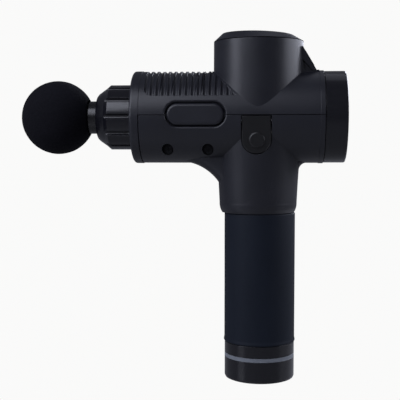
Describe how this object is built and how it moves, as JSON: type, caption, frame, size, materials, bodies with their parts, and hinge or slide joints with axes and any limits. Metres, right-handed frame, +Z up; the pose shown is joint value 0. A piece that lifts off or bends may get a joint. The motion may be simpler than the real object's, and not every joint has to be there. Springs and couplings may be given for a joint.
{
  "type": "massage gun",
  "caption": "T-shaped percussion massage gun with a foam ball head, fluted nose, ribbed barrel, upright motor dome, rear touch screen and removable battery handle.",
  "frame": {"origin": "centre of the flat base of the battery handle, which the gun stands on", "axes": "+Z up the handle; the massage head points along -X and the touch screen along +X; the side with the screw holes is -Y"},
  "size_m": [0.2232, 0.063, 0.2359],
  "materials": {
    "abs_black": "satin",
    "gloss_black": "gloss",
    "button_black": "satin",
    "grip_rubber": "matte",
    "foam_black": "matte",
    "black_rubber": "matte",
    "screen_glass": "gloss",
    "light_guide": "satin",
    "screw_steel": "satin",
    "bearing_steel": "polished",
    "rotor_steel": "satin",
    "magnet": "satin",
    "lamination": "satin",
    "copper": "satin",
    "bronze": "satin",
    "cast_aluminium": "satin",
    "black_anodised": "gloss",
    "board_green": "satin",
    "component_black": "satin",
    "display_frame": "satin",
    "cell_wrap": "satin",
    "spacer_white": "matte",
    "brass_contact": "polished",
    "spring_steel": "satin",
    "nylon": "satin"
  },
  "bodies": {
    "main": {"upper_housing": "abs_black", "lower_housing_left": "abs_black", "lower_housing_right": "abs_black", "top_cap": "abs_black", "nose_sleeve": "gloss_black", "nose_bushing": "nylon", "damper_ring": "black_rubber", "rear_cap": "gloss_black", "rear_cap_screws": "screw_steel", "screen_lens": "screen_glass", "display_module": "display_frame", "display_board": "board_green", "board_posts": "brass_contact", "control_board": "board_green", "board_components": "component_black", "side_plate_left": "abs_black", "side_plate_right": "abs_black", "cover_screws": "screw_steel", "case_screws": "screw_steel", "vent_grille": "component_black", "drive_frame": "cast_aluminium", "rod_bushing": "bronze", "motor_base": "cast_aluminium", "motor_screws": "screw_steel", "motor_bearings": "bearing_steel", "stator_core": "lamination", "stator_windings": "copper", "terminal_block": "nylon", "spring_pins": "brass_contact", "button_pins": "bearing_steel", "button_springs": "spring_steel"},
    "rotor": {"rotor_can": "rotor_steel", "rotor_magnets": "magnet", "motor_shaft": "bearing_steel", "crank": "rotor_steel", "crank_pin": "bearing_steel", "crank_bearing": "bearing_steel"},
    "piston": {"drive_yoke": "cast_aluminium", "piston_rod": "bearing_steel", "piston_tube": "black_anodised"},
    "head": {"massage_ball": "foam_black", "head_shank": "component_black", "head_o_rings": "black_rubber"},
    "battery": {"battery_tube": "abs_black", "contact_blades": "brass_contact", "battery_latches": "spring_steel", "grip_sleeve": "grip_rubber", "battery_collar": "gloss_black", "light_ring": "light_guide", "led_board": "board_green", "base_cap": "gloss_black", "base_screws": "screw_steel", "charging_jack": "component_black", "rocker_socket": "component_black", "battery_cells": "cell_wrap", "cell_spacers": "spacer_white", "protection_board": "board_green"},
    "rocker": {"power_rocker": "component_black"},
    "button_left": {"release_button_left": "button_black"},
    "button_right": {"release_button_right": "button_black"}
  },
  "joints": [
    {"name": "crank_turn", "type": "hinge", "parent": "main", "child": "rotor", "pos_m": [0, 0, 0.1887], "axis": [0, 0, 1], "range_deg": [-90, 90]},
    {"name": "piston_slide", "type": "slide", "parent": "main", "child": "piston", "axis": [1, 0, 0], "range_m": [-0.006, 0.006]},
    {"name": "head_pull", "type": "slide", "parent": "piston", "child": "head", "axis": [-1, 0, 0], "range_m": [0, 0.045]},
    {"name": "battery_slide", "type": "slide", "parent": "main", "child": "battery", "axis": [0, 0, -1], "range_m": [0, 0.055]},
    {"name": "release_left", "type": "hinge", "parent": "main", "child": "button_left", "pos_m": [-0.00215, -0.0268, 0.1769], "axis": [1, 0, 0], "range_deg": [0, 5], "stiffness_Nm_per_rad": 0.6, "springref_deg": -2.86},
    {"name": "release_right", "type": "hinge", "parent": "main", "child": "button_right", "pos_m": [-0.00215, 0.0268, 0.1769], "axis": [-1, 0, 0], "range_deg": [0, 5], "stiffness_Nm_per_rad": 0.6, "springref_deg": -2.86},
    {"name": "rocker_tilt", "type": "hinge", "parent": "battery", "child": "rocker", "pos_m": [0.0095, 0, 0.0045], "axis": [1, 0, 0], "range_deg": [0, 16]}
  ],
  "couplings": [
    {"joint": "piston_slide", "follows": "crank_turn", "m_per_rad": 0.003819}
  ]
}
